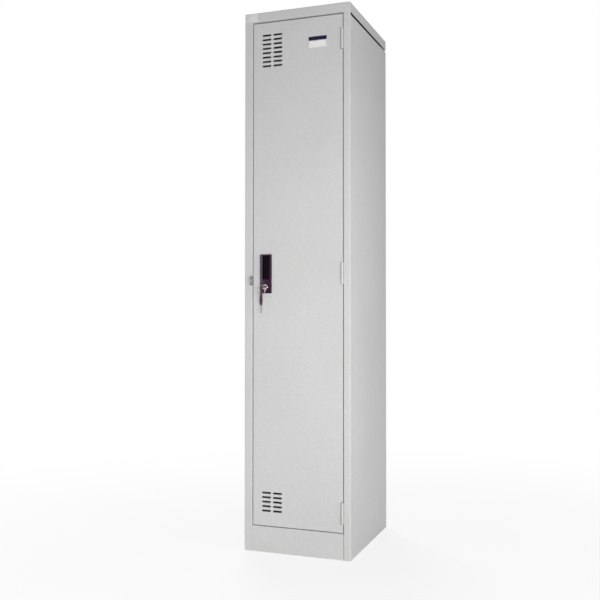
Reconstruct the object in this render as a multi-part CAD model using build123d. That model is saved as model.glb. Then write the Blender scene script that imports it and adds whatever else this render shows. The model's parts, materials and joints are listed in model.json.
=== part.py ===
"""One-door steel clothes locker: every piece as its own solid, in one frame.

Millimetres. The origin is the centre of the cabinet's footprint on the floor, +Z is up
and the door faces -Y. The door hangs on the right, so its latch edge is on the left.
"""

import os
from math import hypot

from build123d import *

# Cabinet
WIDTH = 378.0
DEPTH = 450.0
HEIGHT = 1830.0
SHEET = 0.8
BEND = 3.0  # outside radius of a fold

# Frame around the door
LATCH_STILE = 29.0
HINGE_STILE = 24.0
JAMB_DEPTH = 22.0
STOP_LIP = 12.0
REAR_FLANGE = 15.0
CAP_HEIGHT = 34.0
CAP_FRONT_RETURN = 12.0
GROOVE_HEIGHT = 9.0
GROOVE_DEPTH = 20.0
BASE_HEIGHT = 86.0
BASE_FLANGE = 20.0
LATCH_SEAM = 0.3  # joint between the kick plate and the latch stile
HINGE_SEAM = 0.5  # joint between the kick plate and the hinge stile
CORNER_CLEARANCE = 0.5  # between a flat sheet and the inside of a fold

# Wall fixing holes in the back
WALL_HOLE_RADIUS = 3.5
WALL_HOLE_SPACING = 250.0
WALL_HOLES_BELOW_TOP = 130.0

# Inside
SHELF_BELOW_TOP = 330.0
SHELF_SETBACK = 28.0
SHELF_LIP = 20.0
SHELF_FLANGE = 15.0
SHELF_CLEARANCE = 0.5
SHELF_RAIL_SEAT = 16.0
SHELF_RAIL_LEG = 20.0
RAIL_RADIUS = 9.5
RAIL_WALL = 1.2
RAIL_BELOW_SHELF = 60.0
SOCKET_FLANGE_RADIUS = 17.0
SOCKET_FLANGE = 2.0
SOCKET_WALL = 2.4
SOCKET_DEPTH = 14.0
SOCKET_FIT = 0.1

# Door
TOP_GAP = 4.0
DOOR_GAP = 2.4  # at the hinges and below the door
LATCH_GAP = 3.0
DOOR_DEPTH = 18.0
DOOR_LIP = 12.0
DOOR_BEND = 1.6
STIFFENER_WIDTH = 32.0
STIFFENER_FLANGE = 12.0
STIFFENER_DEPTH = 14.0
STIFFENER_END_GAP = 25.0
BUFFER_RADIUS = 3.8
BUFFER_GAP = 0.3
BUFFER_FROM_END = 150.0

# Ventilation slots
VENT_LENGTH = 32.0
VENT_HEIGHT = 6.6
VENT_COLUMNS = 2
VENT_COLUMN_PITCH = 40.0
VENT_ROW_PITCH = 15.0
VENT_FROM_LATCH = 49.5
TOP_VENT_ROWS = 8
TOP_VENT_INSET = 43.5
BOTTOM_VENT_ROWS = 5
BOTTOM_VENT_INSET = 50.5

# Hinges
HINGE_HEIGHT = 70.0
HINGE_FROM_TOP = 81.0
HINGE_FROM_BOTTOM = 63.0
MIDDLE_HINGE_HEIGHT = 936.5
KNUCKLE_RADIUS = 4.0
PIN_RADIUS = 2.5
PIN_CLEARANCE = 0.05
LEAF = 1.0
LEAF_DEPTH = 13.0
PIVOT_FROM_EDGE = 2.0
PIVOT_BEHIND_FACE = 1.0
KNUCKLE_GAP = 0.4
NOTCH_CLEARANCE = 1.2

# Padlock eye
LUG_GAUGE = 1.2
LUG_HEIGHT = 32.0
LUG_REACH = 24.0
LUG_ROOT = 12.0
LUG_ROUND = 12.0
LUG_HOLE_RADIUS = 7.0
LUG_HOLE_OUT = 12.0
LUG_CENTRE_HEIGHT = 914.0

# Handle
HANDLE_FROM_LATCH = 47.0
HANDLE_CENTRE_HEIGHT = 937.0
HANDLE_WIDTH = 42.0
HANDLE_HEIGHT = 132.0
HANDLE_PROUD = 7.0
HANDLE_DEPTH = 17.0
HANDLE_WALL = 2.2
HANDLE_FLANGE = 2.5
HANDLE_FIT = 0.4
HANDLE_ROUND = 3.0
MOUTH_WIDTH = 26.0
MOUTH_HEIGHT = 80.0
MOUTH_FROM_TOP = 5.0
MOUTH_SHIFT = 2.0
GRIP_LIP = 3.0
GRIP_UNDERCUT = 4.0
STRAP = 1.2
STRAP_HEIGHT = 14.0
STRAP_FOOT = 8.0
STRAP_FROM_MOUTH_END = 12.0
SCREW_RADIUS = 1.8
SCREW_HEAD_RADIUS = 3.5
SCREW_HEAD = 2.2
SCREW_BITE = 1.6  # in the housing's back wall

# Lock
LOCK_FROM_HANDLE_BOTTOM = 21.5
BARREL_RADIUS = 8.0
BARREL_FIT = 0.1
COLLAR_RADIUS = 9.2
COLLAR = 2.5
COLLAR_ROUND = 1.0
PLUG_RADIUS = 5.5
PLUG_CLEARANCE = 0.05
PLUG_RECESS = 0.4
DRIVE_SQUARE = 7.0
NUT_FLATS = 20.0
NUT = 4.0
CAM = 2.0
CAM_WIDTH = 16.0
CAM_ENGAGEMENT = 9.0
CAM_CLEARANCE = 0.8
CAM_SCREW_RADIUS = 2.0
CAM_SCREW_LENGTH = 9.0
CAM_SCREW_HEAD_RADIUS = 5.5
CAM_SCREW_HEAD = 2.6

# Keys
KEY_BLADE_LENGTH = 24.0
KEY_BLADE_WIDTH = 7.0
KEY_BLADE = 2.0
KEY_TANG = 4.0
KEYWAY_CLEARANCE = 0.1
KEYWAY_END_CLEARANCE = 0.5
KEY_STANDOFF = 2.0
KEY_BOW_WIDTH = 20.0
KEY_BOW_LENGTH = 22.0
KEY_BOW = 3.2
KEY_BOW_ROUND = 8.0
SPARE_BOW_LENGTH = 42.0
KEY_HOLE_RADIUS = 5.8
SPARE_HOLE_RADIUS = 5.0
KEY_HOLE_RIM = 2.5
RING_RADIUS = 14.5
RING_WIRE_RADIUS = 1.1
RING_CLEARANCE = 0.4

# Name card and badge
CARD_FROM_HINGE_EDGE = 87.0
CARD_BELOW_DOOR_TOP = 91.0
CARD_WIDTH = 60.0
CARD_HEIGHT = 20.0
CARD = 0.4
CARD_FIT = 0.2
HOLDER_RIM = 1.6
HOLDER_OVERLAP = 1.4
HOLDER_BACK = 0.5
HOLDER_FRONT = 0.4
STRIP_HEIGHT = 13.0
STRIP = 0.5
STRIP_GAP = 1.0
BADGE_WIDTH = 42.0
BADGE_HEIGHT = 26.0
BADGE = 0.8
BADGE_FROM_SIDE = 26.5
BADGE_RIVET_INSET = 3.5
RIVET_RADIUS = 1.0
RIVET_HEAD_RADIUS = 1.8
RIVET_HEAD = 0.6

# Planes and edges that several pieces share
SIDE = WIDTH / 2
FRONT = -DEPTH / 2
BACK = DEPTH / 2
INNER_SIDE = SIDE - SHEET
CORNER_LEG = BEND + SHEET  # from a corner to its joint with the side sheet
BACK_SHEET_FRONT = BACK - 2 * SHEET
CAP_BOTTOM = HEIGHT - CAP_HEIGHT
GROOVE_BOTTOM = CAP_BOTTOM - GROOVE_HEIGHT
TONGUE = SIDE - GROOVE_DEPTH
LIP_FACE = FRONT + JAMB_DEPTH
LIP_BACK = LIP_FACE + SHEET
LATCH_JAMB = -SIDE + LATCH_STILE
HINGE_JAMB = SIDE - HINGE_STILE
SHELF_Z = HEIGHT - SHELF_BELOW_TOP
RAIL_Z = SHELF_Z - RAIL_BELOW_SHELF
DOOR_LEFT = LATCH_JAMB + LATCH_GAP
DOOR_RIGHT = HINGE_JAMB - DOOR_GAP
DOOR_BOTTOM = BASE_HEIGHT + DOOR_GAP
DOOR_TOP = CAP_BOTTOM - TOP_GAP
DOOR_MIDDLE = (DOOR_LEFT + DOOR_RIGHT) / 2
DOOR_SKIN_BACK = FRONT + SHEET
DOOR_BACK = FRONT + DOOR_DEPTH
PIVOT_X = DOOR_RIGHT - PIVOT_FROM_EDGE
PIVOT_Y = FRONT + PIVOT_BEHIND_FACE
STRAP_Y = PIVOT_Y + KNUCKLE_RADIUS - LEAF
LEAF_BACK = STRAP_Y + LEAF_DEPTH
HINGE_HEIGHTS = {
    "upper": DOOR_TOP - HINGE_FROM_TOP,
    "middle": MIDDLE_HINGE_HEIGHT,
    "lower": DOOR_BOTTOM + HINGE_FROM_BOTTOM,
}
HANDLE_X = DOOR_LEFT + HANDLE_FROM_LATCH
HANDLE_TOP = HANDLE_CENTRE_HEIGHT + HANDLE_HEIGHT / 2
HANDLE_BOTTOM = HANDLE_CENTRE_HEIGHT - HANDLE_HEIGHT / 2
HANDLE_FACE = FRONT - HANDLE_PROUD
HANDLE_REAR = FRONT + HANDLE_DEPTH
HANDLE_BODY_HALF = HANDLE_WIDTH / 2 - HANDLE_FLANGE
MOUTH_X = HANDLE_X + MOUTH_SHIFT
MOUTH_TOP = HANDLE_TOP - MOUTH_FROM_TOP
MOUTH_BOTTOM = MOUTH_TOP - MOUTH_HEIGHT
STRAP_HEIGHTS = (MOUTH_BOTTOM + STRAP_FROM_MOUTH_END, MOUTH_TOP - STRAP_FROM_MOUTH_END)
LOCK_X = HANDLE_X
LOCK_Z = HANDLE_BOTTOM + LOCK_FROM_HANDLE_BOTTOM
LOCK_FACE = HANDLE_FACE - COLLAR
PLUG_FACE = LOCK_FACE + PLUG_RECESS
CAM_FRONT = LIP_BACK + CAM_CLEARANCE
CAM_REAR = CAM_FRONT + CAM
BARREL_END = CAM_FRONT - CAM_CLEARANCE
CAM_LENGTH = LOCK_X - (LATCH_JAMB + STOP_LIP) + CAM_ENGAGEMENT
BOW_REAR = LOCK_FACE - KEY_STANDOFF
BLADE_TIP = BOW_REAR + KEY_BLADE_LENGTH
KEYWAY_END = BLADE_TIP + KEYWAY_END_CLEARANCE
BOW_MIDDLE = BOW_REAR - KEY_BOW_LENGTH / 2
BOW_BAR_X = LOCK_X - KEY_BOW_WIDTH / 2 + KEY_HOLE_RIM / 2
RING_INSIDE = RING_RADIUS - RING_WIRE_RADIUS
BOW_BAR_RADIUS = hypot(KEY_HOLE_RIM, KEY_BOW) / 2
RING_Z = LOCK_Z - (RING_INSIDE - BOW_BAR_RADIUS - RING_CLEARANCE)
SPARE_HOLE_TOP = RING_Z - RING_INSIDE + RING_CLEARANCE
SPARE_TOP = SPARE_HOLE_TOP + KEY_HOLE_RIM
SPARE_BOTTOM = SPARE_TOP - SPARE_BOW_LENGTH
CARD_X = DOOR_RIGHT - CARD_FROM_HINGE_EDGE
CARD_Z = DOOR_TOP - CARD_BELOW_DOOR_TOP
HOLDER_HALF_WIDTH = CARD_WIDTH / 2 + CARD_FIT + HOLDER_RIM
HOLDER_HALF_HEIGHT = CARD_HEIGHT / 2 + CARD_FIT + HOLDER_RIM
BADGE_X = -SIDE + BADGE_FROM_SIDE
BADGE_Z = CAP_BOTTOM + CAP_HEIGHT / 2
BADGE_RIVETS = [BADGE_X + s * (BADGE_WIDTH / 2 - BADGE_RIVET_INSET) for s in (-1, 1)]


def slab(x0, x1, y0, y1, z0, z1):
    """Box between two corners."""
    middle = Pos((x0 + x1) / 2, (y0 + y1) / 2, (z0 + z1) / 2)
    return middle * Box(x1 - x0, y1 - y0, z1 - z0)


def rod_x(radius, y, z, x0, x1):
    """Round bar along X."""
    return Pos((x0 + x1) / 2, y, z) * Rot(0, 90, 0) * Cylinder(radius, x1 - x0)


def rod_y(radius, x, z, y0, y1):
    """Round bar along Y."""
    return Pos(x, (y0 + y1) / 2, z) * Rot(90, 0, 0) * Cylinder(radius, y1 - y0)


def rod_z(radius, x, y, z0, z1):
    """Round bar along Z."""
    return Pos(x, y, (z0 + z1) / 2) * Cylinder(radius, z1 - z0)


def front_edges(shape):
    """Edges of the face that looks towards -Y."""
    return shape.faces().sort_by(Axis.Y)[0].edges()


def folded_sheet(points, radii, z0, z1):
    """Sheet folded along a path in plan, its thickness on the right of the path."""
    path = FilletPolyline(*points, radius=radii)
    outline = offset(path, amount=SHEET, side=Side.RIGHT)
    return Pos(0, 0, z0) * extrude(make_face(outline.edges()), z1 - z0)


def front_upright(stile):
    """Right-hand front corner: stile, jamb and door-stop lip folded from one strip."""
    jamb = SIDE - stile
    points = [
        (SIDE, FRONT + CORNER_LEG),
        (SIDE, FRONT),
        (jamb, FRONT),
        (jamb, LIP_FACE),
        (jamb - STOP_LIP, LIP_FACE),
    ]
    upright = folded_sheet(points, [BEND, BEND, BEND - SHEET], 0, CAP_BOTTOM)
    # The stop lip begins above the compartment floor
    return upright - slab(jamb - STOP_LIP - 1, jamb + BEND, LIP_FACE - BEND, LIP_BACK + 1, -1, BASE_HEIGHT)


def side_panel():
    """Right-hand side sheet, welded flush between the two uprights and below the groove under the cap."""
    return slab(INNER_SIDE, SIDE, FRONT + CORNER_LEG, BACK - CORNER_LEG, 0, GROOVE_BOTTOM)


def rear_upright():
    """Right-hand rear corner with a flange that the back sheet is welded to."""
    points = [(SIDE - REAR_FLANGE, BACK), (SIDE, BACK), (SIDE, BACK - CORNER_LEG)]
    return folded_sheet(points, BEND, 0, GROOVE_BOTTOM)


def cap_rail():
    """Right-hand rail under the cap: a ledge on the side sheet and a tongue that closes the groove."""
    inner = TONGUE - SHEET
    front, back = FRONT + CORNER_LEG, BACK_SHEET_FRONT - BEND
    ledge_bottom = GROOVE_BOTTOM - SHEET
    rail = slab(inner, INNER_SIDE, front, back, ledge_bottom, GROOVE_BOTTOM)
    return rail + slab(inner, TONGUE, front, back, ledge_bottom, HEIGHT - SHEET)


def rounded_block(x, y0, y1, z0, z1, radius):
    """Box with rounded upright edges and top edges, centred across the cabinet."""
    block = slab(-x, x, y0, y1, z0, z1)
    edges = block.edges().filter_by(Axis.Z) + block.faces().sort_by(Axis.Z)[-1].edges()
    return fillet(edges, radius)


def top_cap():
    """Shallow tray over the whole top, with an inward return at the front."""
    cap = rounded_block(SIDE, FRONT, BACK, CAP_BOTTOM, HEIGHT, BEND)
    inner = BEND - SHEET
    cap -= rounded_block(INNER_SIDE, DOOR_SKIN_BACK, BACK - SHEET, CAP_BOTTOM - 1, HEIGHT - SHEET, inner)
    half = TONGUE - SHEET - CORNER_CLEARANCE
    back = DOOR_SKIN_BACK + CAP_FRONT_RETURN
    cap += slab(-half, half, FRONT + SHEET / 2, back, CAP_BOTTOM, CAP_BOTTOM + SHEET)
    for x in BADGE_RIVETS:
        cap -= rod_y(RIVET_RADIUS, x, BADGE_Z, FRONT - 1, DOOR_SKIN_BACK + 1)
    return cap


def back_panel():
    """Flat back sheet inside the rear uprights, with two wall fixing holes."""
    half = INNER_SIDE - BEND
    top = HEIGHT - BEND - CORNER_CLEARANCE
    panel = slab(-half, half, BACK_SHEET_FRONT, BACK - SHEET, 0, top)
    for x in (-WALL_HOLE_SPACING / 2, WALL_HOLE_SPACING / 2):
        panel -= rod_y(WALL_HOLE_RADIUS, x, HEIGHT - WALL_HOLES_BELOW_TOP, BACK_SHEET_FRONT - 1, BACK)
    return panel


def base_outline(inset):
    """Plan of the base, wide behind the jambs and narrow between them, drawn in by an inset."""
    left = LATCH_JAMB + LATCH_SEAM + inset
    right = HINGE_JAMB - HINGE_SEAM - inset
    wide = INNER_SIDE - inset
    shoulder = LIP_BACK + CORNER_CLEARANCE + inset
    front = FRONT + inset
    back = BACK_SHEET_FRONT - inset
    points = [
        (left, front),
        (right, front),
        (right, shoulder),
        (wide, shoulder),
        (wide, back - BEND),
        (wide - BEND, back),
        (BEND - wide, back),
        (-wide, back - BEND),
        (-wide, shoulder),
        (left, shoulder),
    ]
    return make_face(Polyline(*points, close=True).edges())


def base():
    """Folded base: compartment floor, kick plate and skirts, with a flange around the foot."""
    pan = extrude(base_outline(0), BASE_HEIGHT)
    pan -= Pos(0, 0, SHEET) * extrude(base_outline(SHEET), BASE_HEIGHT - 2 * SHEET)
    pan -= Pos(0, 0, -SHEET) * extrude(base_outline(BASE_FLANGE), 3 * SHEET)
    return pan


def hat_shelf():
    """Shelf with its four edges turned down, the front one deepest."""
    half = INNER_SIDE - SHELF_CLEARANCE
    front = FRONT + SHELF_SETBACK
    back = BACK_SHEET_FRONT - SHELF_CLEARANCE
    shelf = slab(-half, half, front, back, SHELF_Z - SHELF_FLANGE, SHELF_Z)
    shelf = fillet(shelf.edges().filter_by(Axis.Z).sort_by(Axis.Y)[2:], BEND)
    inside = slab(
        SHEET - half, half - SHEET, front + SHEET, back - SHEET, SHELF_Z - SHELF_FLANGE - 1, SHELF_Z - SHEET
    )
    shelf -= fillet(inside.edges().filter_by(Axis.Z).sort_by(Axis.Y)[2:], BEND - SHEET)
    end = INNER_SIDE - SHELF_RAIL_SEAT - SHELF_CLEARANCE
    return shelf + slab(-end, end, front, front + SHEET, SHELF_Z - SHELF_LIP, SHELF_Z)


def shelf_rail():
    """Angle on the right-hand side that the shelf's flange stands on."""
    seat = SHELF_Z - SHELF_FLANGE
    front = FRONT + SHELF_SETBACK
    back = BACK_SHEET_FRONT - BEND
    rail = slab(INNER_SIDE - SHELF_RAIL_SEAT, INNER_SIDE, front, back, seat - SHEET, seat)
    return rail + slab(INNER_SIDE - SHEET, INNER_SIDE, front, back, seat - SHELF_RAIL_LEG, seat)


def garment_rail():
    """Tube across the cabinet, its ends inside the two sockets."""
    half = INNER_SIDE - SOCKET_FLANGE - SOCKET_FIT
    bore = RAIL_RADIUS - RAIL_WALL
    return rod_x(RAIL_RADIUS, 0, RAIL_Z, -half, half) - rod_x(bore, 0, RAIL_Z, -half, half)


def rail_socket():
    """Flanged cup on the right-hand side."""
    bore = RAIL_RADIUS + SOCKET_FIT
    flange = rod_x(SOCKET_FLANGE_RADIUS, 0, RAIL_Z, INNER_SIDE - SOCKET_FLANGE, INNER_SIDE)
    cup = rod_x(bore + SOCKET_WALL, 0, RAIL_Z, INNER_SIDE - SOCKET_DEPTH, INNER_SIDE)
    return flange + cup - rod_x(bore, 0, RAIL_Z, INNER_SIDE - SOCKET_DEPTH, INNER_SIDE - SOCKET_FLANGE)


def door_buffers():
    """Rubber buttons on the latch-side stop lip."""
    x = LATCH_JAMB + STOP_LIP / 2
    heights = (DOOR_BOTTOM + BUFFER_FROM_END, DOOR_TOP - BUFFER_FROM_END)
    return Compound([rod_y(BUFFER_RADIUS, x, z, DOOR_BACK + BUFFER_GAP, LIP_FACE).solid() for z in heights])


def vent_slots(first_z, rows):
    """Columns of round-ended slots, rows counted upwards from the lowest."""
    slots = []
    for column in range(VENT_COLUMNS):
        x = DOOR_LEFT + VENT_FROM_LATCH + column * VENT_COLUMN_PITCH
        for row in range(rows):
            plane = Plane((x, FRONT, first_z + row * VENT_ROW_PITCH), x_dir=(1, 0, 0), z_dir=(0, 1, 0))
            slots.append(extrude(plane * SlotOverall(VENT_LENGTH, VENT_HEIGHT), 2 * SHEET, both=True))
    return slots


def door_panel():
    """Door sheet folded back on four sides and in again, with slots, hinge notches and a handle cut-out."""
    panel = slab(DOOR_LEFT, DOOR_RIGHT, FRONT, DOOR_BACK, DOOR_BOTTOM, DOOR_TOP)
    panel = fillet(front_edges(panel), DOOR_BEND)
    inside = slab(
        DOOR_LEFT + SHEET,
        DOOR_RIGHT - SHEET,
        DOOR_SKIN_BACK,
        DOOR_BACK - SHEET,
        DOOR_BOTTOM + SHEET,
        DOOR_TOP - SHEET,
    )
    panel -= fillet(front_edges(inside), DOOR_BEND - SHEET)
    panel -= slab(
        DOOR_LEFT + DOOR_LIP,
        DOOR_RIGHT - DOOR_LIP,
        DOOR_BACK - 2 * SHEET,
        DOOR_BACK + 1,
        DOOR_BOTTOM + DOOR_LIP,
        DOOR_TOP - DOOR_LIP,
    )
    panel -= vent_slots(DOOR_BOTTOM + BOTTOM_VENT_INSET, BOTTOM_VENT_ROWS)
    top_first = DOOR_TOP - TOP_VENT_INSET - (TOP_VENT_ROWS - 1) * VENT_ROW_PITCH
    panel -= vent_slots(top_first, TOP_VENT_ROWS)
    reach = KNUCKLE_RADIUS + NOTCH_CLEARANCE
    for z in HINGE_HEIGHTS.values():
        half = HINGE_HEIGHT / 2 + NOTCH_CLEARANCE
        panel -= slab(PIVOT_X - reach, DOOR_RIGHT + 1, FRONT - 1, PIVOT_Y + reach, z - half, z + half)
    half_width = HANDLE_BODY_HALF + HANDLE_FIT
    panel -= slab(
        HANDLE_X - half_width,
        HANDLE_X + half_width,
        FRONT - 1,
        DOOR_SKIN_BACK + 1,
        HANDLE_BOTTOM + HANDLE_FLANGE - HANDLE_FIT,
        HANDLE_TOP - HANDLE_FLANGE + HANDLE_FIT,
    )
    return panel


def door_stiffener():
    """Upright channel behind the door sheet."""
    half = STIFFENER_WIDTH / 2
    edge = half + STIFFENER_FLANGE
    back = DOOR_SKIN_BACK + STIFFENER_DEPTH
    # From right to left, so that the thickness lies behind the door sheet
    points = [
        (DOOR_MIDDLE + edge, DOOR_SKIN_BACK),
        (DOOR_MIDDLE + half, DOOR_SKIN_BACK),
        (DOOR_MIDDLE + half, back),
        (DOOR_MIDDLE - half, back),
        (DOOR_MIDDLE - half, DOOR_SKIN_BACK),
        (DOOR_MIDDLE - edge, DOOR_SKIN_BACK),
    ]
    bends = [BEND, BEND - SHEET, BEND - SHEET, BEND]
    return folded_sheet(points, bends, DOOR_BOTTOM + STIFFENER_END_GAP, DOOR_TOP - STIFFENER_END_GAP)


def hinge_frame_half(z):
    """Lower knuckle with a strap and a leaf on the hinge jamb."""
    bottom = z - HINGE_HEIGHT / 2
    top = z - KNUCKLE_GAP / 2
    half = slab(HINGE_JAMB - LEAF, HINGE_JAMB, STRAP_Y, LEAF_BACK, bottom, z + HINGE_HEIGHT / 2)
    half += slab(PIVOT_X, HINGE_JAMB, STRAP_Y, STRAP_Y + LEAF, bottom, top)
    half += rod_z(KNUCKLE_RADIUS, PIVOT_X, PIVOT_Y, bottom, top)
    return half - rod_z(PIN_RADIUS, PIVOT_X, PIVOT_Y, bottom, top)


def hinge_door_half(z):
    """Upper knuckle with a strap and a leaf on the door's edge."""
    bottom = z + KNUCKLE_GAP / 2
    top = z + HINGE_HEIGHT / 2
    leaf_front = PIVOT_Y + KNUCKLE_RADIUS + NOTCH_CLEARANCE
    leaf_right = DOOR_RIGHT + LEAF
    half = slab(DOOR_RIGHT, leaf_right, leaf_front, LEAF_BACK, z - HINGE_HEIGHT / 2, top)
    half += slab(DOOR_RIGHT, leaf_right, STRAP_Y, LEAF_BACK, bottom, top)
    half += slab(PIVOT_X, leaf_right, STRAP_Y, STRAP_Y + LEAF, bottom, top)
    half += rod_z(KNUCKLE_RADIUS, PIVOT_X, PIVOT_Y, bottom, top)
    return half - rod_z(PIN_RADIUS + PIN_CLEARANCE, PIVOT_X, PIVOT_Y, bottom, top)


def hinge_pin(z):
    """Pin fixed in the lower knuckle."""
    return rod_z(PIN_RADIUS, PIVOT_X, PIVOT_Y, z - HINGE_HEIGHT / 2, z + HINGE_HEIGHT / 2)


def padlock_lug(x0):
    """Flat lug that stands out of the gap beside the door, with a hole for a padlock."""
    half = LUG_HEIGHT / 2
    z0, z1 = LUG_CENTRE_HEIGHT - half, LUG_CENTRE_HEIGHT + half
    lug = slab(x0, x0 + LUG_GAUGE, FRONT - LUG_REACH, FRONT + LUG_ROOT, z0, z1)
    lug = fillet(lug.edges().filter_by(Axis.X).sort_by(Axis.Y)[:2], LUG_ROUND)
    return lug - rod_x(LUG_HOLE_RADIUS, FRONT - LUG_HOLE_OUT, LUG_CENTRE_HEIGHT, x0 - 1, x0 + LUG_GAUGE + 1)


def handle_housing():
    """Moulded pull: a rounded bezel over the door, a finger recess and a block that holds the lock."""
    half = HANDLE_WIDTH / 2
    bezel = slab(HANDLE_X - half, HANDLE_X + half, HANDLE_FACE, FRONT, HANDLE_BOTTOM, HANDLE_TOP)
    bezel = fillet(bezel.edges().filter_by(Axis.Y) + front_edges(bezel), HANDLE_ROUND)
    housing = bezel + slab(
        HANDLE_X - HANDLE_BODY_HALF,
        HANDLE_X + HANDLE_BODY_HALF,
        FRONT - 1,
        HANDLE_REAR,
        HANDLE_BOTTOM + HANDLE_FLANGE,
        HANDLE_TOP - HANDLE_FLANGE,
    )
    left, right = MOUTH_X - MOUTH_WIDTH / 2, MOUTH_X + MOUTH_WIDTH / 2
    recess_end = HANDLE_REAR - HANDLE_WALL
    housing -= slab(left, right, HANDLE_FACE - 1, recess_end, MOUTH_BOTTOM, MOUTH_TOP)
    # Behind a lip on the latch side the recess widens for the fingertips
    grip_face = HANDLE_FACE + GRIP_LIP
    housing -= slab(left - GRIP_UNDERCUT, right, grip_face, recess_end, MOUTH_BOTTOM, MOUTH_TOP)
    housing -= rod_y(BARREL_RADIUS + BARREL_FIT, LOCK_X, LOCK_Z, HANDLE_FACE - 1, HANDLE_REAR + 1)
    for z in STRAP_HEIGHTS:
        housing -= rod_y(SCREW_RADIUS, HANDLE_X, z, HANDLE_REAR - SCREW_BITE, HANDLE_REAR + 1)
    return housing


def handle_strap(z):
    """Steel strap that clamps the housing to the back of the door sheet."""
    inner = HANDLE_BODY_HALF + HANDLE_FIT
    outer = inner + STRAP
    rear = HANDLE_REAR + STRAP
    z0, z1 = z - STRAP_HEIGHT / 2, z + STRAP_HEIGHT / 2
    strap = slab(HANDLE_X - outer, HANDLE_X + outer, HANDLE_REAR, rear, z0, z1)
    for side in (-1, 1):
        legs = sorted((HANDLE_X + side * inner, HANDLE_X + side * outer))
        feet = sorted((HANDLE_X + side * inner, HANDLE_X + side * (outer + STRAP_FOOT)))
        strap += slab(*legs, DOOR_SKIN_BACK, rear, z0, z1)
        strap += slab(*feet, DOOR_SKIN_BACK, DOOR_SKIN_BACK + STRAP, z0, z1)
    return strap - rod_y(SCREW_RADIUS, HANDLE_X, z, HANDLE_REAR - 1, rear + 1)


def handle_screw(z):
    """Screw through the strap into the housing's back wall."""
    seat = HANDLE_REAR + STRAP
    shank = rod_y(SCREW_RADIUS, HANDLE_X, z, HANDLE_REAR - SCREW_BITE, seat)
    return shank + rod_y(SCREW_HEAD_RADIUS, HANDLE_X, z, seat, seat + SCREW_HEAD)


def lock_barrel():
    """Fixed cylinder of the lock, with a rounded collar against the handle."""
    collar = rod_y(COLLAR_RADIUS, LOCK_X, LOCK_Z, LOCK_FACE, HANDLE_FACE)
    collar = fillet(front_edges(collar), COLLAR_ROUND)
    barrel = collar + rod_y(BARREL_RADIUS, LOCK_X, LOCK_Z, LOCK_FACE + COLLAR / 2, BARREL_END)
    return barrel - rod_y(PLUG_RADIUS + PLUG_CLEARANCE, LOCK_X, LOCK_Z, LOCK_FACE - 1, BARREL_END + 1)


def lock_nut():
    """Hexagon nut behind the handle."""
    plane = Plane((LOCK_X, HANDLE_REAR, LOCK_Z), x_dir=(1, 0, 0), z_dir=(0, 1, 0))
    nut = extrude(plane * RegularPolygon(NUT_FLATS / 2, 6, major_radius=False), NUT)
    return nut - rod_y(BARREL_RADIUS, LOCK_X, LOCK_Z, HANDLE_REAR - 1, HANDLE_REAR + NUT + 1)


def lock_plug():
    """Turning plug with a level keyway, a square drive and a tapped end."""
    plug = rod_y(PLUG_RADIUS, LOCK_X, LOCK_Z, PLUG_FACE, BARREL_END)
    half = DRIVE_SQUARE / 2
    plug += slab(LOCK_X - half, LOCK_X + half, BARREL_END - 1, CAM_REAR, LOCK_Z - half, LOCK_Z + half)
    slot_half = KEY_BLADE_WIDTH / 2 + KEYWAY_CLEARANCE
    slot_rise = KEY_BLADE / 2 + KEYWAY_CLEARANCE
    plug -= slab(
        LOCK_X - slot_half,
        LOCK_X + slot_half,
        PLUG_FACE - 1,
        KEYWAY_END,
        LOCK_Z - slot_rise,
        LOCK_Z + slot_rise,
    )
    return plug - rod_y(CAM_SCREW_RADIUS, LOCK_X, LOCK_Z, CAM_REAR - CAM_SCREW_LENGTH, CAM_REAR + 1)


def lock_cam():
    """Tongue that points up when the door is free and lies behind the latch-side lip when locked."""
    half = CAM_WIDTH / 2
    tip = LOCK_Z + CAM_LENGTH - half
    cam = slab(LOCK_X - half, LOCK_X + half, CAM_FRONT, CAM_REAR, LOCK_Z, tip)
    cam += rod_y(half, LOCK_X, tip, CAM_FRONT, CAM_REAR)
    cam += rod_y(half, LOCK_X, LOCK_Z, CAM_FRONT, CAM_REAR)
    square = DRIVE_SQUARE / 2
    return cam - slab(
        LOCK_X - square, LOCK_X + square, CAM_FRONT - 1, CAM_REAR + 1, LOCK_Z - square, LOCK_Z + square
    )


def cam_screw():
    """Screw that holds the cam on its square."""
    shank = rod_y(CAM_SCREW_RADIUS, LOCK_X, LOCK_Z, CAM_REAR - CAM_SCREW_LENGTH, CAM_REAR)
    return shank + rod_y(CAM_SCREW_HEAD_RADIUS, LOCK_X, LOCK_Z, CAM_REAR, CAM_REAR + CAM_SCREW_HEAD)


def key_blade():
    """Blade of the key in the lock, level, with a tang in the bow."""
    half = KEY_BLADE_WIDTH / 2
    blade = slab(
        LOCK_X - half,
        LOCK_X + half,
        BOW_REAR - KEY_TANG,
        BLADE_TIP,
        LOCK_Z - KEY_BLADE / 2,
        LOCK_Z + KEY_BLADE / 2,
    )
    return chamfer(blade.edges().filter_by(Axis.Z).sort_by(Axis.Y)[2:], half / 2)


def key_bow():
    """Moulded bow of the key in the lock, with a ring hole beside its left edge."""
    outline = RectangleRounded(KEY_BOW_WIDTH, KEY_BOW_LENGTH, KEY_BOW_ROUND)
    bow = extrude(Plane((LOCK_X, BOW_MIDDLE, LOCK_Z)) * outline, KEY_BOW / 2, both=True)
    hole_x = LOCK_X - KEY_BOW_WIDTH / 2 + KEY_HOLE_RIM + KEY_HOLE_RADIUS
    bow -= rod_z(KEY_HOLE_RADIUS, hole_x, BOW_MIDDLE, LOCK_Z - KEY_BOW, LOCK_Z + KEY_BOW)
    return bow - key_blade()


def key_ring():
    """Ring through the hole of the bow, hanging parallel to the door."""
    return Pos(BOW_BAR_X, BOW_MIDDLE, RING_Z) * Rot(90, 0, 0) * Torus(RING_RADIUS, RING_WIRE_RADIUS)


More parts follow.
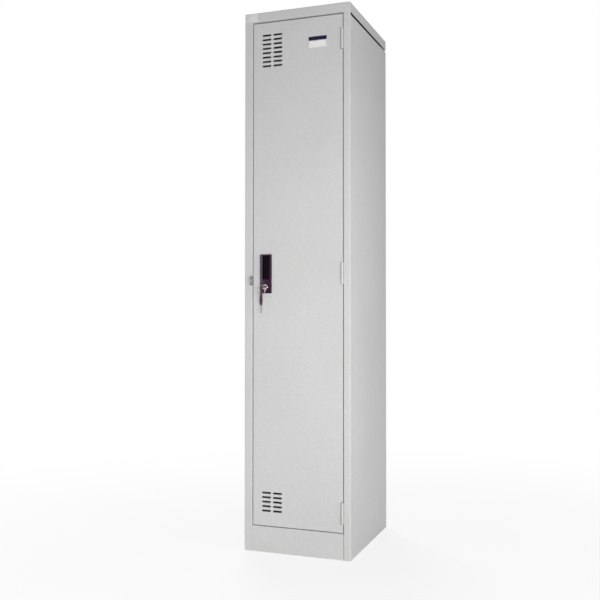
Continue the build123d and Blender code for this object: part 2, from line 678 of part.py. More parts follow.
def spare_blade():
    """Blade of the spare key, hanging down."""
    half = KEY_BLADE_WIDTH / 2
    blade = slab(
        BOW_BAR_X - KEY_BLADE / 2,
        BOW_BAR_X + KEY_BLADE / 2,
        BOW_MIDDLE - half,
        BOW_MIDDLE + half,
        SPARE_BOTTOM - KEY_BLADE_LENGTH,
        SPARE_BOTTOM + KEY_TANG,
    )
    return chamfer(blade.edges().filter_by(Axis.X).sort_by(Axis.Z)[:2], half / 2)


def spare_bow():
    """Long oval bow of the spare key, hanging edge-on to the door."""
    middle = (BOW_BAR_X, BOW_MIDDLE, SPARE_TOP - SPARE_BOW_LENGTH / 2)
    outline = Ellipse(KEY_BOW_WIDTH / 2, SPARE_BOW_LENGTH / 2)
    bow = extrude(Plane(middle, x_dir=(0, 1, 0), z_dir=(1, 0, 0)) * outline, KEY_BOW / 2, both=True)
    hole_z = SPARE_HOLE_TOP - SPARE_HOLE_RADIUS
    bow -= rod_x(SPARE_HOLE_RADIUS, BOW_MIDDLE, hole_z, BOW_BAR_X - KEY_BOW, BOW_BAR_X + KEY_BOW)
    return bow - spare_blade()


def card_slab(half_width, half_height, y0, y1):
    """Flat piece centred on the name card."""
    return slab(CARD_X - half_width, CARD_X + half_width, y0, y1, CARD_Z - half_height, CARD_Z + half_height)


def card_holder():
    """Frame on the door with a pocket for the card, open at the front behind narrow lips."""
    pocket_front = FRONT - HOLDER_BACK - CARD - CARD_FIT
    holder = card_slab(HOLDER_HALF_WIDTH, HOLDER_HALF_HEIGHT, pocket_front - HOLDER_FRONT, FRONT)
    half_width, half_height = CARD_WIDTH / 2 + CARD_FIT, CARD_HEIGHT / 2 + CARD_FIT
    holder -= card_slab(half_width, half_height, pocket_front, FRONT - HOLDER_BACK)
    window = HOLDER_OVERLAP + CARD_FIT
    window_back = pocket_front + CARD_FIT / 2
    return holder - card_slab(half_width - window, half_height - window, pocket_front - 1, window_back)


def name_card():
    """Blank card in the holder's pocket."""
    return card_slab(CARD_WIDTH / 2, CARD_HEIGHT / 2, FRONT - HOLDER_BACK - CARD, FRONT - HOLDER_BACK)


def header_strip():
    """Plain dark strip above the card holder."""
    left, right = CARD_X - HOLDER_HALF_WIDTH, CARD_X + HOLDER_HALF_WIDTH
    bottom = CARD_Z + HOLDER_HALF_HEIGHT + STRIP_GAP
    return slab(left, right, FRONT - STRIP, FRONT, bottom, bottom + STRIP_HEIGHT)


def badge_plate():
    """Blank plate riveted to the cap."""
    left, right = BADGE_X - BADGE_WIDTH / 2, BADGE_X + BADGE_WIDTH / 2
    bottom, top = BADGE_Z - BADGE_HEIGHT / 2, BADGE_Z + BADGE_HEIGHT / 2
    plate = slab(left, right, FRONT - BADGE, FRONT, bottom, top)
    for x in BADGE_RIVETS:
        plate -= rod_y(RIVET_RADIUS, x, BADGE_Z, FRONT - BADGE - 1, FRONT + 1)
    return plate


def badge_rivet(x):
    """Rivet through the badge and the cap's front."""
    head_back = FRONT - BADGE
    shank = rod_y(RIVET_RADIUS, x, BADGE_Z, head_back, DOOR_SKIN_BACK)
    return shank + rod_y(RIVET_HEAD_RADIUS, x, BADGE_Z, head_back - RIVET_HEAD, head_back)


def group(shapes):
    """Several like solids as one piece of the list."""
    return Compound([shape.solid() for shape in shapes])


NODES = {
    "left_front_upright": mirror(front_upright(LATCH_STILE), about=Plane.YZ),
    "right_front_upright": front_upright(HINGE_STILE),
    "left_side_panel": mirror(side_panel(), about=Plane.YZ),
    "right_side_panel": side_panel(),
    "left_rear_upright": mirror(rear_upright(), about=Plane.YZ),
    "right_rear_upright": rear_upright(),
    "left_cap_rail": mirror(cap_rail(), about=Plane.YZ),
    "right_cap_rail": cap_rail(),
    "back_panel": back_panel(),
    "top_cap": top_cap(),
    "base": base(),
    "hat_shelf": hat_shelf(),
    "left_shelf_rail": mirror(shelf_rail(), about=Plane.YZ),
    "right_shelf_rail": shelf_rail(),
    "garment_rail": garment_rail(),
    "left_rail_socket": mirror(rail_socket(), about=Plane.YZ),
    "right_rail_socket": rail_socket(),
    "door_buffers": door_buffers(),
    "frame_padlock_lug": padlock_lug(LATCH_JAMB),
    "badge_plate": badge_plate(),
    "badge_rivets": group([badge_rivet(x) for x in BADGE_RIVETS]),
    "door_panel": door_panel(),
    "door_stiffener": door_stiffener(),
    "door_padlock_lug": padlock_lug(DOOR_LEFT - LUG_GAUGE),
    "card_holder": card_holder(),
    "name_card": name_card(),
    "header_strip": header_strip(),
    "handle_housing": handle_housing(),
    "handle_straps": group([handle_strap(z) for z in STRAP_HEIGHTS]),
    "handle_screws": group([handle_screw(z) for z in STRAP_HEIGHTS]),
    "lock_barrel": lock_barrel(),
    "lock_nut": lock_nut(),
    "lock_plug": lock_plug(),
    "lock_cam": lock_cam(),
    "cam_screw": cam_screw(),
    "key_blade": key_blade(),
    "key_bow": key_bow(),
    "key_ring": key_ring(),
    "spare_key_blade": spare_blade(),
    "spare_key_bow": spare_bow(),
}
for place, height in HINGE_HEIGHTS.items():
    NODES[f"{place}_hinge_frame_half"] = hinge_frame_half(height)
    NODES[f"{place}_hinge_door_half"] = hinge_door_half(height)
    NODES[f"{place}_hinge_pin"] = hinge_pin(height)

os.makedirs("parts", exist_ok=True)
for name, shape in NODES.items():
    export_step(shape, f"parts/{name}.step")
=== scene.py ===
"""Looks of the steel locker: studio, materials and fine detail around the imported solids. Metres."""

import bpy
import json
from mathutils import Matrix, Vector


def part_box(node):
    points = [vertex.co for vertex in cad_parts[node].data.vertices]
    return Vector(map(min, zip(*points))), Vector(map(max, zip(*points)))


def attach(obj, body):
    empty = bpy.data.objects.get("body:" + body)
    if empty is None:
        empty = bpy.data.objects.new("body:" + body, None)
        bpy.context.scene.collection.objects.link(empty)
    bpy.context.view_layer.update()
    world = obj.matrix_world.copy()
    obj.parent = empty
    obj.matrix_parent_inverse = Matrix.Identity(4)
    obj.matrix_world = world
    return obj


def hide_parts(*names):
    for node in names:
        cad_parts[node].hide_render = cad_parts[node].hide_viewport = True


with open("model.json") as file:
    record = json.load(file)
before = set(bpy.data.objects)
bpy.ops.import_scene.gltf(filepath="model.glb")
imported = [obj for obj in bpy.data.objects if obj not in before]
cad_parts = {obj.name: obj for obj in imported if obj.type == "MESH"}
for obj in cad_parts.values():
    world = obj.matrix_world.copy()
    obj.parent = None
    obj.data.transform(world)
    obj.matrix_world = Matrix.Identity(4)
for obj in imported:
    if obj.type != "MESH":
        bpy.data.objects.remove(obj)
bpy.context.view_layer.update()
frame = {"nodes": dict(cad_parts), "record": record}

import json
from math import cos, pi, radians, sin, tau

import bmesh
import bpy
from mathutils import Matrix, Vector

MM = 0.001
NODES = frame["nodes"]
SCENE = bpy.context.scene

# Sizes of the solids that their boxes don't give
KEY_TANG = 4.0 * MM
KEY_BOW_ROUND = 8.0 * MM
KEY_HOLE_RIM = 2.5 * MM
KEY_HOLE_RADIUS = 5.8 * MM
SPARE_HOLE_RADIUS = 5.0 * MM
BARREL_RADIUS = 8.0 * MM
COLLAR = 2.5 * MM
COLLAR_ROUND = 1.0 * MM
PLUG_CLEARANCE = 0.05 * MM
HANDLE_SCREW_HEAD = 2.2 * MM
HANDLE_SCREW_RADIUS = 1.8 * MM
CAM_SCREW_HEAD = 2.6 * MM
CAM_SCREW_RADIUS = 2.0 * MM
RIVET_HEAD = 0.6 * MM
RIVET_RADIUS = 1.0 * MM

# Key blades: depths of the cuts, places along the blade, and shares of the pitch from cut to cut
KEY_CUTS = (0.9 * MM, 1.7 * MM, 0.6 * MM, 1.4 * MM, 2.0 * MM)
KEY_SHOULDER = 2.0 * MM
KEY_FIRST_CUT = 2.6 * MM
KEY_UNCUT = 6.0 * MM
KEY_CREST_DROP = 0.25 * MM
KEY_TIP = 1.8 * MM
KEY_TIP_DROP = 0.4 * MM
KEY_TIP_SHARE = 0.25
KEY_ROUND = 0.12 * MM
CUT_START = 0.30
CUT_END = 0.62
CUT_CREST = 0.95
KEY_GROOVE_WIDTH = 1.0 * MM
KEY_GROOVE_DEPTH = 0.35 * MM
KEY_GROOVE_DROP = 0.7 * MM
KEY_GROOVE_START = 1.5 * MM
KEY_GROOVE_STOP = 2.5 * MM

# Key bows: the web is a share of the thickness
KEY_BOW_RIM = 2.4 * MM
SPARE_BOW_RIM = 2.2 * MM
BOW_EYE_RIM = 1.7 * MM
BOW_WEB = 0.66
BOW_WEB_ROUND = 0.5 * MM
BOW_RIM_ROUND = 0.45 * MM

# Split ring: a coil's half sizes as shares of the wire's radius, and angles along the wire in radians
COIL_THICK = 0.52
COIL_WIDE = 0.85
COIL_PLAY = 0.96
COIL_STEP_AT = 1.95
COIL_STEP_HALF = 0.35
COIL_END_GAP = 0.3
COIL_END_SIZE = 0.35
COIL_END_LOOPS = 5
COIL_STEPS = 150
COIL_SIDES = 10

# Screws: shares of the head's height and radius, and the turns of the handle's two in radians
SCREW_RIM = 0.35
SCREW_CROWN = 0.65
CROSS_ARM = 0.62
CROSS_HALF_WIDTH = 0.13
CROSS_FLOOR = 0.45
CROSS_TOP = 1.5
HANDLE_SCREW_SPINS = (0.5, 1.1)

# Lock barrel: the dished collar and the thread behind it
DISH = 0.1 * MM
DISH_BORDER = 2.0 * MM
DISH_STEP = 0.3 * MM
BORE_MOUTH_DEPTH = 0.5 * MM
BORE_MOUTH_WIDTH = 0.4 * MM
COLLAR_BREAK = 0.2 * MM
COLLAR_ARC_STEPS = 4
THREAD_DEPTH = 0.35 * MM
THREAD_PITCH = 1.0 * MM
THREAD_CREST = 0.15 * MM
THREAD_START = 1.5 * MM
THREAD_PLAIN = 3.0 * MM
BARREL_END_BREAK = 0.4 * MM

# Badge and rubber buffers: neck and face are shares of the buffer's radius
BADGE_CORNER = 2.0 * MM
BADGE_ROUND = 0.2 * MM
BUFFER_CROWN = 1.6 * MM
BUFFER_NECK = 0.86
BUFFER_FACE = 0.8
BUFFER_FOOT = 0.9 * MM
BUFFER_FOOT_RIM = 0.5 * MM

# Broken edges of the pressed and moulded nodes
BROKEN_EDGES = {
    "frame_padlock_lug": 0.25 * MM,
    "door_padlock_lug": 0.25 * MM,
    "lock_cam": 0.25 * MM,
    "lock_nut": 0.4 * MM,
    "handle_straps": 0.2 * MM,
    "card_holder": 0.12 * MM,
    "header_strip": 0.12 * MM,
    "handle_housing": 0.35 * MM,
}
BROKEN_FROM = radians(40)
WELD_DISTANCE = 1e-6

# Meshes: degrees up to which faces blend, and lengths that count as nothing
SOFT_ANGLE = 35
RING_SOFT_ANGLE = 50
BARREL_SOFT_ANGLE = 25
SAME_POINT = 1e-7
ON_AXIS = 1e-9

# Rails at the back of the cap's grooves, whose dark coat is painted shade
SHADED_GROOVE_RAILS = ("left_cap_rail", "right_cap_rail")

# Patterns of the finishes, in features to the metre
COAT_GRAIN = 900
COAT_SPECK = 330
COAT_DRIFT = 3.5
PLATE_CLOUD = 260
PLATE_BRUSH = 900
PLATE_GRAIN = 1500
MOULD_SPARK = 1400
MOULD_BLOOM = 60
RUBBER_SPARK = 1000
CARD_FIBRE = 900
PAPER_GRAIN = 40

# Stretch of a pattern along the axes, for brushed metal and card
KEY_BRUSH = (1, 1, 0.06)
BADGE_BRUSH = (0.15, 1, 3)
FIBRE_RUN = (1, 1, 0.3)

# Depths and strengths of the surface relief
COAT_DEPTH = 0.25 * MM
COAT_RELIEF = 0.4
PLATE_DEPTH = 0.03 * MM
PLATE_RELIEF = 0.25
MOULD_DEPTH = 0.06 * MM
RUBBER_DEPTH = 0.1 * MM
MOULD_RELIEF = 0.35
CARD_DEPTH = 0.03 * MM
CARD_RELIEF = 0.3

# Powder coat: shares of its patterns, tones and their places along the pattern, and roughness
COAT_SPECK_SHARE = 0.6
COAT_GRAIN_SHARE = 0.4
COAT_SPECK_HEIGHT = 0.8
COAT_SHADES = (0.88, 1.0, 1.07)
COAT_STOPS = (0.36, 0.5, 0.64)
COAT_DRIFT_SHARE = 0.35
COAT_ROUGHNESS = (0.5, 0.65)

# Plated metal and mouldings: tones as factors of the colour, and how far the roughness wanders
PLATE_SHADES = (0.9, 1.08)
PLATE_SMOOTHEST = 0.75
PLATE_ROUGHEST = 1.3
MOULD_SHADES = (0.82, 1.2)
BLOOM_ROUGHNESS = 0.06
SPARK_ROUGHNESS = 0.05

# Handle: colours across the grip, from a painted grey sheen on the left through plum to painted shade on
# the right, the painted shade in the recess, and the depth over which that painted shade turns the recess
# black
# Painted grey sheen on the grip's left side
GRIP_PAINTED_SHEEN = (0.088, 0.070, 0.086)
GRIP_PLUM = (0.044, 0.012, 0.034)
# Painted shade on the grip's right side
GRIP_PAINTED_SHADE = (0.026, 0.006, 0.019)
GRIP_STOPS = (0.14, 0.36, 1.0)
GRIP_WANDER = 0.05
GRIP_ROUGHNESS = (0.32, 0.44)
# Painted shade that turns the finger recess black
RECESS_PAINTED_SHADE = (0.007, 0.002, 0.008)
RECESS_SHADE_FROM = 2 * MM
RECESS_SHADE_TO = 9 * MM
RECESS_ROUGHER = 0.4

# Card and floor: darker and lighter tones
CARD_TONES = ((0.78, 0.765, 0.75), (0.85, 0.835, 0.82))
CARD_ROUGHNESS = (0.5, 0.7)
PAPER_TONES = ((0.80, 0.80, 0.80), (0.83, 0.83, 0.83))

# Studio: lamps in watts with their spread in degrees, even light, and a floor that fades to white
LAMPS = {
    "key_lamp": {
        "place": (1.2, -3.2, 0.72),
        "target": (-0.1, -0.2, 0.87),
        "size": (1.8, 0.8),
        "power": 32.9,
        "spread": 120,
    },
    "side_lamp": {
        "place": (2.2, -0.72, 1.12),
        "target": (0.2, -0.64, 0.72),
        "size": (0.5, 2.15),
        "power": 6.4,
        "spread": 80,
    },
    "rear_lamp": {
        "place": (-1.9, 3.0, 3.1),
        "target": (0, 0, 0.9),
        "size": (2.2, 2.0),
        "power": 125,
        "spread": 180,
    },
}
WHITE = (1, 1, 1, 1)
EVEN_LIGHT = 0.23
SEEN_LIGHT = 1.0
FLOOR_RADIUS = 14
FLOOR_DROP = 0.5 * MM
FADE_START = 0.4
FADE_END = 2.0
FADE_LEAST = 0.8

# Camera fitted to the photograph
CAMERA_PLACE = (1.0006, -2.8149, 0.8361)
CAMERA_TURN = (pi / 2 + 0.0183, 0, 0.3479)
CAMERA_SENSOR = 36
CAMERA_LENS = 49.86
CAMERA_SHIFT = (-0.0227, -0.0192)


# Materials


class Finish:
    """A node material under construction, patterned in the object's own coordinates."""

    def __init__(self, name, **plain):
        self.material = bpy.data.materials.new(name)
        self.material.use_nodes = True
        tree = self.material.node_tree
        self.nodes, self.links = tree.nodes, tree.links
        self.shader = self.nodes["Principled BSDF"]
        self.place = self.nodes.new("ShaderNodeTexCoord").outputs["Object"]
        for socket, value in plain.items():
            self.shader.inputs[socket.replace("_", " ")].default_value = value

    def add(self, kind, inputs, **settings):
        """A new node with its inputs set or linked."""
        node = self.nodes.new("ShaderNode" + kind)
        for key, value in settings.items():
            setattr(node, key, value)
        for socket, value in inputs.items():
            if isinstance(value, bpy.types.NodeSocket):
                self.links.new(value, node.inputs[socket])
            else:
                node.inputs[socket].default_value = value
        return node

    def noise(self, scale, detail, stretch=None):
        """Cloudy pattern with about this many features to the metre."""
        place = self.place
        if stretch:
            place = self.add("Mapping", {"Vector": place, "Scale": stretch}).outputs[0]
        return self.add("TexNoise", {"Vector": place, "Scale": scale, "Detail": detail}).outputs[0]

    def span(self, value, low, high, start=0.32, end=0.68):
        """A pattern's middle range spread over the values from low to high."""
        ends = {"From Min": start, "From Max": end, "To Min": low, "To Max": high}
        return self.add("MapRange", {"Value": value, **ends}).outputs[0]

    def math(self, operation, a, b):
        """One sum or product of two values."""
        return self.add("Math", {0: a, 1: b}, operation=operation).outputs[0]

    def ramp(self, value, *stops):
        """Colours at places along a pattern."""
        node = self.add("ValToRGB", {"Fac": value})
        elements = node.color_ramp.elements
        while len(elements) < len(stops):
            elements.new(0.5)
        for element, (position, colour) in zip(elements, stops):
            element.position = position
            element.color = (*colour, 1)
        return node.outputs[0]

    def tint(self, value, dark, light):
        """Two tones over a pattern's middle range."""
        return self.ramp(value, (0.3, dark), (0.7, light))

    def mix(self, factor, colour, plain):
        """A colour pattern that gives way to one plain colour."""
        node = self.add("Mix", {}, data_type="RGBA")
        share, first, second, result = node.inputs[0], node.inputs[6], node.inputs[7], node.outputs[2]
        self.links.new(factor, share)
        self.links.new(colour, first)
        second.default_value = (*plain, 1)
        return result

    def use(self, colour, roughness=None, height=None, distance=None, strength=None):
        """Links the finished patterns to the shader."""
        self.links.new(colour, self.shader.inputs["Base Color"])
        if roughness is not None:
            self.links.new(roughness, self.shader.inputs["Roughness"])
        if height is not None:
            bump = self.add("Bump", {"Height": height, "Distance": distance, "Strength": strength})
            self.links.new(bump.outputs[0], self.shader.inputs["Normal"])
        return self.material


def shades(colour, *factors):
    """Darker and lighter versions of a colour."""
    return [tuple(channel * factor for channel in colour) for factor in factors]


def painted_steel(name, coat):
    """Powder coat: fine orange-peel grain, a soft speckle and slow drifts of tone."""
    finish = Finish(name, Specular_IOR_Level=0.3)
    grain = finish.noise(COAT_GRAIN, detail=2)
    speck = finish.noise(COAT_SPECK, detail=3)
    drift = finish.noise(COAT_DRIFT, detail=2)
    speck_part = finish.math("MULTIPLY", speck, COAT_SPECK_SHARE)
    grain_part = finish.math("MULTIPLY", grain, COAT_GRAIN_SHARE)
    tones = shades(coat, *COAT_SHADES)
    colour = finish.ramp(finish.math("ADD", speck_part, grain_part), *zip(COAT_STOPS, tones))
    darkest = tones[0]
    colour = finish.mix(finish.span(drift, 0.0, COAT_DRIFT_SHARE), colour, darkest)
    roughness = finish.span(grain, *COAT_ROUGHNESS)
    height = finish.math("ADD", grain, finish.math("MULTIPLY", speck, COAT_SPECK_HEIGHT))
    return finish.use(colour, roughness, height, COAT_DEPTH, COAT_RELIEF)


def plated(name, colour, roughness, brushed=None):
    """Plated metal with faint clouds and, where it is brushed, fine lines along one axis."""
    finish = Finish(name, Metallic=1.0)
    cloud = finish.noise(PLATE_CLOUD, 3, brushed)
    tint = finish.tint(cloud, *shades(colour, *PLATE_SHADES))
    lines = finish.noise(PLATE_BRUSH, 3, brushed) if brushed else finish.noise(PLATE_GRAIN, 2)
    rough = finish.span(lines, roughness * PLATE_SMOOTHEST, roughness * PLATE_ROUGHEST)
    return finish.use(tint, rough, lines, PLATE_DEPTH, PLATE_RELIEF)


def moulded(name, colour, roughness, grain=MOULD_SPARK, depth=MOULD_DEPTH, shine=0.4):
    """Moulded plastic or rubber: fine spark grain, slight bloom and handling shine."""
    finish = Finish(name, Specular_IOR_Level=shine)
    spark = finish.noise(grain, detail=2)
    bloom = finish.noise(MOULD_BLOOM, detail=3)
    tint = finish.tint(bloom, *shades(colour, *MOULD_SHADES))
    handled = finish.span(bloom, -BLOOM_ROUGHNESS, BLOOM_ROUGHNESS)
    sparkle = finish.span(spark, roughness - SPARK_ROUGHNESS, roughness + SPARK_ROUGHNESS)
    return finish.use(tint, finish.math("ADD", handled, sparkle), spark, depth, MOULD_RELIEF)


def handle_plastic():
    """Plum moulded plastic: a painted grey sheen on the grip's left side, painted shade on its right, and
    painted shade that turns the finger recess black; matt inside the recess.
    """
    finish = Finish("handle_plastic", Specular_IOR_Level=0.12)
    spark = finish.noise(MOULD_SPARK, detail=2)
    bloom = finish.noise(MOULD_BLOOM, detail=3)
    low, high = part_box("handle_housing")
    axes = finish.add("SeparateXYZ", {"Vector": finish.place}).outputs
    # Painted shade: the recess darkens to black with depth, and its roughness follows
    recess_shade_share = finish.span(axes["Y"], 0.0, 1.0, low.y + RECESS_SHADE_FROM, low.y + RECESS_SHADE_TO)
    # Painted sheen on the left of the grip, painted shade on the right
    sheen_to_shade = finish.span(axes["X"], 0.0, 1.0, low.x, high.x)
    sheen_to_shade = finish.math("ADD", sheen_to_shade, finish.span(bloom, -GRIP_WANDER, GRIP_WANDER))
    tint = finish.ramp(sheen_to_shade, *zip(GRIP_STOPS, (GRIP_PAINTED_SHEEN, GRIP_PLUM, GRIP_PAINTED_SHADE)))
    colour = finish.mix(recess_shade_share, tint, RECESS_PAINTED_SHADE)
    matt = finish.span(recess_shade_share, 0.0, RECESS_ROUGHER, 0, 1)
    rough = finish.math("ADD", matt, finish.span(spark, *GRIP_ROUGHNESS))
    return finish.use(colour, rough, spark, MOULD_DEPTH, MOULD_RELIEF)


def coated_card():
    """White card with faint fibres."""
    finish = Finish("coated_card")
    fibre = finish.noise(CARD_FIBRE, 4, FIBRE_RUN)
    tint = finish.tint(fibre, *CARD_TONES)
    return finish.use(tint, finish.span(fibre, *CARD_ROUGHNESS), fibre, CARD_DEPTH, CARD_RELIEF)


FINISHES = {
    "painted_steel": painted_steel("painted_steel", (0.590, 0.597, 0.588)),
    # Dark coat for the groove rails: painted shade in the cap's grooves
    "groove_painted_shade": painted_steel("groove_painted_shade", (0.16, 0.155, 0.16)),
    "chrome": plated("chrome", (0.64, 0.64, 0.62), roughness=0.16),
    "zinc_steel": plated("zinc_steel", (0.36, 0.36, 0.34), roughness=0.36),
    "key_steel": plated("key_steel", (0.38, 0.365, 0.36), roughness=0.36, brushed=KEY_BRUSH),
    "handle_plastic": handle_plastic(),
    "key_plastic": moulded("key_plastic", (0.047, 0.007, 0.031), roughness=0.38, shine=0.22),
    "socket_plastic": moulded("socket_plastic", (0.33, 0.33, 0.33), roughness=0.45),
    "rubber": moulded("rubber", (0.022, 0.022, 0.022), 0.7, grain=RUBBER_SPARK, depth=RUBBER_DEPTH),
    "badge_metal": plated("badge_metal", (0.55, 0.56, 0.56), roughness=0.55, brushed=BADGE_BRUSH),
    "holder_plastic": moulded("holder_plastic", (0.74, 0.72, 0.70), roughness=0.3),
    "card": coated_card(),
    "strip": moulded("strip", (0.010, 0.006, 0.040), roughness=0.4, shine=0.15),
}


def dress_nodes():
    """Gives every solid the finish that its slot names, and the rails in the cap's grooves a dark coat as
    painted shade.
    """
    for part in frame["record"]["subparts"]:
        node, slot = part["node"], part["material_slot"]
        mesh = NODES[node].data
        mesh.materials.clear()
        # The groove rails take the dark coat that paints shade into the grooves
        mesh.materials.append(FINISHES["groove_painted_shade" if node in SHADED_GROOVE_RAILS else slot])


# Mesh helpers


TO_FRONT = Matrix.Rotation(pi / 2, 4, "X")  # turns local +Z to -Y, towards the viewer
TO_REAR = Matrix.Rotation(-pi / 2, 4, "X")  # turns local +Z to +Y, into the cabinet


class Extent:
    """A node's box at rest."""

    def __init__(self, node):
        self.low, self.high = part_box(node)
        self.middle = (self.low + self.high) / 2
        self.size = self.high - self.low


def as_mesh(bm, place=None, angle=SOFT_ANGLE):
    """A finished mesh with soft faces and crisp edges."""
    bmesh.ops.recalc_face_normals(bm, faces=bm.faces)
    mesh = bpy.data.meshes.new("detail")
    bm.to_mesh(mesh)
    bm.free()
    if place:
        mesh.transform(place)
    mesh.shade_smooth()
    mesh.set_sharp_from_angle(angle=radians(angle))
    return mesh


def as_bmesh(mesh):
    """The mesh opened for more work; the mesh itself goes away."""
    bm = bmesh.new()
    bm.from_mesh(mesh)
    bpy.data.meshes.remove(mesh)
    return bm


def helper(data):
    """A scratch object around a mesh or curve."""
    obj = bpy.data.objects.new("helper", data)
    SCENE.collection.objects.link(obj)
    return obj


def baked(obj, *others):
    """The object's mesh with its modifiers applied; the scratch objects go away."""
    bpy.context.view_layer.update()
    graph = bpy.context.evaluated_depsgraph_get()
    mesh = bpy.data.meshes.new_from_object(obj.evaluated_get(graph))
    for scratch in (obj, *others):
        bpy.data.objects.remove(scratch)
    return mesh


def moved(bm, place):
    """The bmesh carried to a place."""
    bm.transform(place)
    return bm


def joined(*parts):
    """Several bmeshes as one."""
    whole = parts[0]
    for part in parts[1:]:
        mesh = bpy.data.meshes.new("part")
        part.to_mesh(mesh)
        part.free()
        whole.from_mesh(mesh)
        bpy.data.meshes.remove(mesh)
    return whole


def without(bm, cutter):
    """The solid less the cutter."""
    body, tool = helper(as_mesh(bm)), helper(as_mesh(cutter))
    cut = body.modifiers.new("cut", "BOOLEAN")
    cut.operation = "DIFFERENCE"
    cut.solver = "EXACT"
    cut.object = tool
    return as_bmesh(baked(body, tool))


def block(x0, x1, y0, y1, z0, z1):
    """Box between two corners, for cutting."""
    bm = bmesh.new()
    bmesh.ops.create_cube(bm, size=1)
    scale = Matrix.Diagonal((x1 - x0, y1 - y0, z1 - z0, 1))
    return moved(bm, Matrix.Translation(((x0 + x1) / 2, (y0 + y1) / 2, (z0 + z1) / 2)) @ scale)


def lathe(profile, closed=False, segments=40):
    """Surface turned about Z from points of radius and height."""
    bm = bmesh.new()
    steps = [tau * i / segments for i in range(segments)]
    rings = []
    for radius, height in profile:
        if radius < ON_AXIS:
            rings.append([bm.verts.new((0, 0, height))])
        else:
            rings.append([bm.verts.new((radius * cos(a), radius * sin(a), height)) for a in steps])
    pairs = list(zip(rings, rings[1:]))
    if closed:
        pairs.append((rings[-1], rings[0]))
    for a, b in pairs:
        for i in range(segments):
            j = (i + 1) % segments
            corners = [a[i % len(a)], a[j % len(a)], b[j % len(b)], b[i % len(b)]]
            bm.faces.new(list(dict.fromkeys(corners)))
    return bm


def dome(radius, base, rise, steps=6):
    """Profile of a crown from its top down to its rim."""
    turns = [pi / 2 * i / steps for i in range(1, steps + 1)]
    return [(0, base + rise)] + [(radius * sin(a), base + rise * cos(a)) for a in turns]


def plate(loops, thickness, rounding):
    """Flat plate in XY, half above and half below, with rounded rims; loops after the first are holes."""
    curve = bpy.data.curves.new("plate", "CURVE")
    curve.dimensions = "2D"
    curve.fill_mode = "BOTH"
    curve.extrude = thickness / 2 - rounding
    curve.bevel_depth = rounding
    curve.bevel_resolution = 2
    curve.offset = -rounding
    for loop in loops:
        spline = curve.splines.new("POLY")
        spline.points.add(len(loop) - 1)
        for point, (x, y) in zip(spline.points, loop):
            point.co = (x, y, 0, 1)
        spline.use_cyclic_u = True
    bm = as_bmesh(baked(helper(curve)))
    bmesh.ops.remove_doubles(bm, verts=bm.verts, dist=SAME_POINT)
    return bm


def oval(rx, ry, x=0.0, y=0.0, count=64):
    """Loop of points on an ellipse."""
    turns = [tau * i / count for i in range(count)]
    return [(x + rx * cos(a), y + ry * sin(a)) for a in turns]


def rounded(width, length, radius, count=10):
    """Loop of points on a rectangle with round corners."""
    points = []
    for side_x, side_y, start in ((1, 1, 0), (-1, 1, 90), (-1, -1, 180), (1, -1, 270)):
        x, y = side_x * (width / 2 - radius), side_y * (length / 2 - radius)
        for i in range(count + 1):
            a = radians(start + 90 * i / count)
            points.append((x + radius * cos(a), y + radius * sin(a)))
    return points


def piece(name, bm, place, body, slot, *stands_for, angle=SOFT_ANGLE):
    """A piece of the object that rides on a body and takes a slot's finish."""
    mesh = as_mesh(bm, place, angle)
    mesh.materials.append(FINISHES[slot])
    obj = bpy.data.objects.new(name, mesh)
    SCENE.collection.objects.link(obj)
    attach(obj, body)
    if stands_for:
        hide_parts(*stands_for)


# Keys and ring


def split_ring():
    """Sprung wire ring: two flat coils side by side, with one step between them."""
    ring = Extent("key_ring")
    wire = ring.size.y / 2
    radius = ring.size.x / 2 - wire
    thick, wide = COIL_THICK * wire, COIL_WIDE * wire
    start = COIL_STEP_AT + COIL_END_GAP
    end = COIL_STEP_AT + 2 * tau - COIL_END_GAP
    bm = bmesh.new()
    loops = []
    for k in range(COIL_STEPS + 1):
        a = start + (end - start) * k / COIL_STEPS
        t = min(1.0, max(0.0, (a - COIL_STEP_AT - tau + COIL_STEP_HALF) / (2 * COIL_STEP_HALF)))
        # A smooth step from the first coil to the second
        shift = thick * (2 * t * t * (3 - 2 * t) - 1)
        taper = min(1.0, COIL_END_SIZE + min(k, COIL_STEPS - k) / COIL_END_LOOPS)
        loop = []
        for i in range(COIL_SIDES):
            f = tau * i / COIL_SIDES
            r = radius + wide * taper * cos(f)
            y = shift + COIL_PLAY * thick * taper * sin(f)
            loop.append(bm.verts.new(ring.middle + Vector((r * cos(a), y, r * sin(a)))))
        loops.append(loop)
    for a, b in zip(loops, loops[1:]):
        for i in range(COIL_SIDES):
            j = (i + 1) % COIL_SIDES
            bm.faces.new((a[i], a[j], b[j], b[i]))
    bm.faces.new(loops[0])
    bm.faces.new(loops[-1])
    piece("split_ring", bm, None, "key_ring", "key_steel", "key_ring", angle=RING_SOFT_ANGLE)


